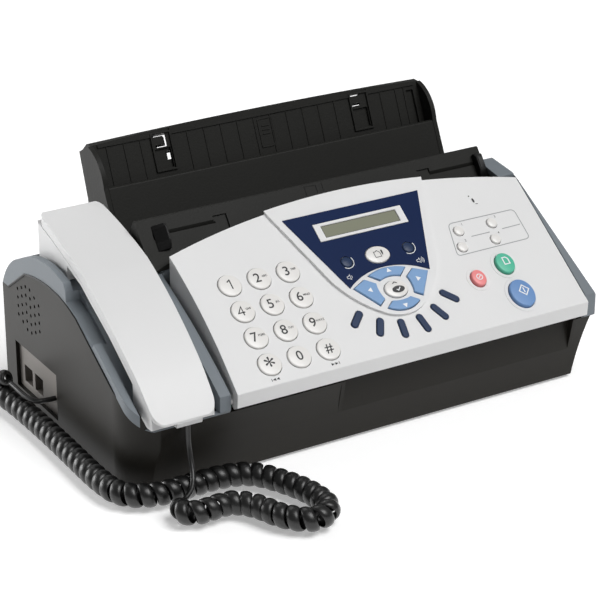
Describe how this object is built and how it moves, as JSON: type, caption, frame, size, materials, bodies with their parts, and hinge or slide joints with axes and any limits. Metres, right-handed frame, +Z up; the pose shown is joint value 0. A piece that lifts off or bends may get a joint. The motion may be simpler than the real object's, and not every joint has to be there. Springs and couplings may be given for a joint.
{
  "type": "fax machine with handset",
  "caption": "Desktop fax machine with a sloping hinged key panel, a corded handset in a side cradle, a paper hopper and a document feed.",
  "frame": {"origin": "on the table, under the middle of the machine without its cord", "axes": "+X to the user's right, +Y to the back, +Z up"},
  "size_m": [0.3339, 0.2579, 0.1546],
  "materials": {
    "dark_housing": "fine textured",
    "blue_grey_trim": "fine textured",
    "pale_shell": "satin",
    "navy_fascia": "gloss",
    "display": "satin",
    "number_key": "satin",
    "arrow_key": "satin",
    "oblong_key": "satin",
    "start_key": "satin",
    "copy_key": "satin",
    "stop_key": "satin",
    "rubber": "matt",
    "cord": "satin",
    "roller": "matt",
    "metal": "brushed",
    "board": "solder resist",
    "gear": "satin"
  },
  "bodies": {
    "base": {"base_shell": "dark_housing", "rubber_feet": "rubber", "handset_cradle": "blue_grey_trim", "right_side_trim": "blue_grey_trim", "jack_block": "dark_housing", "mains_inlet": "dark_housing", "speaker": "metal", "main_board": "board", "paper_tray": "dark_housing", "paper_tray_front": "dark_housing", "document_tray": "dark_housing", "drive_motor": "metal", "print_head": "metal", "image_sensor": "dark_housing", "handset_cord": "cord"},
    "panel": {"panel_cover": "pale_shell", "display_fascia": "navy_fascia", "lcd_module": "display", "panel_board": "board"},
    "handset": {"handset_upper": "pale_shell", "handset_lower": "pale_shell"},
    "hook_switch": {"hook_switch": "dark_housing"},
    "document_guide_left": {"document_guide_left": "dark_housing"},
    "document_guide_right": {"document_guide_right": "dark_housing"},
    "platen_roller": {"platen_roller": "roller"},
    "feed_roller": {"feed_roller": "roller"},
    "motor_pinion": {"motor_pinion": "gear"},
    "key_one": {"key_one": "number_key"},
    "key_two": {"key_two": "number_key"},
    "key_three": {"key_three": "number_key"},
    "key_four": {"key_four": "number_key"},
    "key_five": {"key_five": "number_key"},
    "key_six": {"key_six": "number_key"},
    "key_seven": {"key_seven": "number_key"},
    "key_eight": {"key_eight": "number_key"},
    "key_nine": {"key_nine": "number_key"},
    "key_star": {"key_star": "number_key"},
    "key_zero": {"key_zero": "number_key"},
    "key_hash": {"key_hash": "number_key"},
    "oblong_key_1": {"oblong_key_1": "oblong_key"},
    "oblong_key_2": {"oblong_key_2": "oblong_key"},
    "oblong_key_3": {"oblong_key_3": "oblong_key"},
    "oblong_key_4": {"oblong_key_4": "oblong_key"},
    "oblong_key_5": {"oblong_key_5": "oblong_key"},
    "oblong_key_6": {"oblong_key_6": "oblong_key"},
    "menu_key": {"menu_key": "number_key"},
    "arrow_left_key": {"arrow_left_key": "arrow_key"},
    "arrow_right_key": {"arrow_right_key": "arrow_key"},
    "arrow_up_key": {"arrow_up_key": "arrow_key"},
    "arrow_down_key": {"arrow_down_key": "arrow_key"},
    "answer_key": {"answer_key": "number_key"},
    "play_key": {"play_key": "oblong_key"},
    "erase_key": {"erase_key": "oblong_key"},
    "touch_key_1": {"touch_key_1": "number_key"},
    "touch_key_2": {"touch_key_2": "number_key"},
    "touch_key_3": {"touch_key_3": "number_key"},
    "touch_key_4": {"touch_key_4": "number_key"},
    "stop_key": {"stop_key": "stop_key"},
    "copy_key": {"copy_key": "copy_key"},
    "start_key": {"start_key": "start_key"}
  },
  "joints": [
    {"name": "panel_hinge", "type": "hinge", "parent": "base", "child": "panel", "pos_m": [0.026, -0.081, 0.0482], "axis": [1, 0, 0], "range_deg": [0, 35]},
    {"name": "handset_lift", "type": "slide", "parent": "base", "child": "handset", "axis": [0, 0, 1], "range_m": [0, 0.06]},
    {"name": "hook_travel", "type": "slide", "parent": "base", "child": "hook_switch", "axis": [0, 0, 1], "range_m": [0, 0.003]},
    {"name": "guide_left_slide", "type": "slide", "parent": "base", "child": "document_guide_left", "axis": [1, 0, 0], "range_m": [0, 0.035]},
    {"name": "guide_right_slide", "type": "slide", "parent": "base", "child": "document_guide_right", "axis": [-1, 0, 0], "range_m": [0, 0.035]},
    {"name": "platen_spin", "type": "hinge", "parent": "base", "child": "platen_roller", "pos_m": [0.02, 0.025, 0.062], "axis": [1, 0, 0], "continuous": true},
    {"name": "feed_spin", "type": "hinge", "parent": "base", "child": "feed_roller", "pos_m": [0.02, -0.01, 0.08], "axis": [1, 0, 0], "continuous": true},
    {"name": "pinion_spin", "type": "hinge", "parent": "base", "child": "motor_pinion", "pos_m": [0.138, 0.01095, 0.08146], "axis": [1, 0, 0], "continuous": true},
    {"name": "key_one_press", "type": "slide", "parent": "panel", "child": "key_one", "axis": [0, 0.5721, -0.8202], "range_m": [0, 0.0012], "stiffness_N_per_m": 400},
    {"name": "key_two_press", "type": "slide", "parent": "panel", "child": "key_two", "axis": [0, 0.5721, -0.8202], "range_m": [0, 0.0012], "stiffness_N_per_m": 400},
    {"name": "key_three_press", "type": "slide", "parent": "panel", "child": "key_three", "axis": [0, 0.5721, -0.8202], "range_m": [0, 0.0012], "stiffness_N_per_m": 400},
    {"name": "key_four_press", "type": "slide", "parent": "panel", "child": "key_four", "axis": [0, 0.5721, -0.8202], "range_m": [0, 0.0012], "stiffness_N_per_m": 400},
    {"name": "key_five_press", "type": "slide", "parent": "panel", "child": "key_five", "axis": [0, 0.5721, -0.8202], "range_m": [0, 0.0012], "stiffness_N_per_m": 400},
    {"name": "key_six_press", "type": "slide", "parent": "panel", "child": "key_six", "axis": [0, 0.5721, -0.8202], "range_m": [0, 0.0012], "stiffness_N_per_m": 400},
    {"name": "key_seven_press", "type": "slide", "parent": "panel", "child": "key_seven", "axis": [0, 0.5721, -0.8202], "range_m": [0, 0.0012], "stiffness_N_per_m": 400},
    {"name": "key_eight_press", "type": "slide", "parent": "panel", "child": "key_eight", "axis": [0, 0.5721, -0.8202], "range_m": [0, 0.0012], "stiffness_N_per_m": 400},
    {"name": "key_nine_press", "type": "slide", "parent": "panel", "child": "key_nine", "axis": [0, 0.5721, -0.8202], "range_m": [0, 0.0012], "stiffness_N_per_m": 400},
    {"name": "key_star_press", "type": "slide", "parent": "panel", "child": "key_star", "axis": [0, 0.5721, -0.8202], "range_m": [0, 0.0012], "stiffness_N_per_m": 400},
    {"name": "key_zero_press", "type": "slide", "parent": "panel", "child": "key_zero", "axis": [0, 0.5721, -0.8202], "range_m": [0, 0.0012], "stiffness_N_per_m": 400},
    {"name": "key_hash_press", "type": "slide", "parent": "panel", "child": "key_hash", "axis": [0, 0.5721, -0.8202], "range_m": [0, 0.0012], "stiffness_N_per_m": 400},
    {"name": "oblong_key_1_press", "type": "slide", "parent": "panel", "child": "oblong_key_1", "axis": [0, 0.5721, -0.8202], "range_m": [0, 0.0012], "stiffness_N_per_m": 400},
    {"name": "oblong_key_2_press", "type": "slide", "parent": "panel", "child": "oblong_key_2", "axis": [0, 0.5721, -0.8202], "range_m": [0, 0.0012], "stiffness_N_per_m": 400},
    {"name": "oblong_key_3_press", "type": "slide", "parent": "panel", "child": "oblong_key_3", "axis": [0, 0.5721, -0.8202], "range_m": [0, 0.0012], "stiffness_N_per_m": 400},
    {"name": "oblong_key_4_press", "type": "slide", "parent": "panel", "child": "oblong_key_4", "axis": [0, 0.5721, -0.8202], "range_m": [0, 0.0012], "stiffness_N_per_m": 400},
    {"name": "oblong_key_5_press", "type": "slide", "parent": "panel", "child": "oblong_key_5", "axis": [0, 0.5721, -0.8202], "range_m": [0, 0.0012], "stiffness_N_per_m": 400},
    {"name": "oblong_key_6_press", "type": "slide", "parent": "panel", "child": "oblong_key_6", "axis": [0, 0.5721, -0.8202], "range_m": [0, 0.0012], "stiffness_N_per_m": 400},
    {"name": "menu_key_press", "type": "slide", "parent": "panel", "child": "menu_key", "axis": [0, 0.5721, -0.8202], "range_m": [0, 0.0012], "stiffness_N_per_m": 400},
    {"name": "arrow_left_key_press", "type": "slide", "parent": "panel", "child": "arrow_left_key", "axis": [0, 0.5721, -0.8202], "range_m": [0, 0.0012], "stiffness_N_per_m": 400},
    {"name": "arrow_right_key_press", "type": "slide", "parent": "panel", "child": "arrow_right_key", "axis": [0, 0.5721, -0.8202], "range_m": [0, 0.0012], "stiffness_N_per_m": 400},
    {"name": "arrow_up_key_press", "type": "slide", "parent": "panel", "child": "arrow_up_key", "axis": [0, 0.5721, -0.8202], "range_m": [0, 0.0012], "stiffness_N_per_m": 400},
    {"name": "arrow_down_key_press", "type": "slide", "parent": "panel", "child": "arrow_down_key", "axis": [0, 0.5721, -0.8202], "range_m": [0, 0.0012], "stiffness_N_per_m": 400},
    {"name": "answer_key_press", "type": "slide", "parent": "panel", "child": "answer_key", "axis": [0, 0.5721, -0.8202], "range_m": [0, 0.0012], "stiffness_N_per_m": 400},
    {"name": "play_key_press", "type": "slide", "parent": "panel", "child": "play_key", "axis": [0, 0.5721, -0.8202], "range_m": [0, 0.0012], "stiffness_N_per_m": 400},
    {"name": "erase_key_press", "type": "slide", "parent": "panel", "child": "erase_key", "axis": [0, 0.5721, -0.8202], "range_m": [0, 0.0012], "stiffness_N_per_m": 400},
    {"name": "touch_key_1_press", "type": "slide", "parent": "panel", "child": "touch_key_1", "axis": [0, 0.5721, -0.8202], "range_m": [0, 0.0012], "stiffness_N_per_m": 400},
    {"name": "touch_key_2_press", "type": "slide", "parent": "panel", "child": "touch_key_2", "axis": [0, 0.5721, -0.8202], "range_m": [0, 0.0012], "stiffness_N_per_m": 400},
    {"name": "touch_key_3_press", "type": "slide", "parent": "panel", "child": "touch_key_3", "axis": [0, 0.5721, -0.8202], "range_m": [0, 0.0012], "stiffness_N_per_m": 400},
    {"name": "touch_key_4_press", "type": "slide", "parent": "panel", "child": "touch_key_4", "axis": [0, 0.5721, -0.8202], "range_m": [0, 0.0012], "stiffness_N_per_m": 400},
    {"name": "stop_key_press", "type": "slide", "parent": "panel", "child": "stop_key", "axis": [0, 0.5721, -0.8202], "range_m": [0, 0.0012], "stiffness_N_per_m": 400},
    {"name": "copy_key_press", "type": "slide", "parent": "panel", "child": "copy_key", "axis": [0, 0.5721, -0.8202], "range_m": [0, 0.0012], "stiffness_N_per_m": 400},
    {"name": "start_key_press", "type": "slide", "parent": "panel", "child": "start_key", "axis": [0, 0.5721, -0.8202], "range_m": [0, 0.0012], "stiffness_N_per_m": 400}
  ],
  "couplings": [
    {"joint": "hook_travel", "follows": "handset_lift", "ratio": 0.05},
    {"joint": "guide_right_slide", "follows": "guide_left_slide", "ratio": 1},
    {"joint": "feed_spin", "follows": "platen_spin", "ratio": 1.2},
    {"joint": "pinion_spin", "follows": "platen_spin", "ratio": -3}
  ]
}
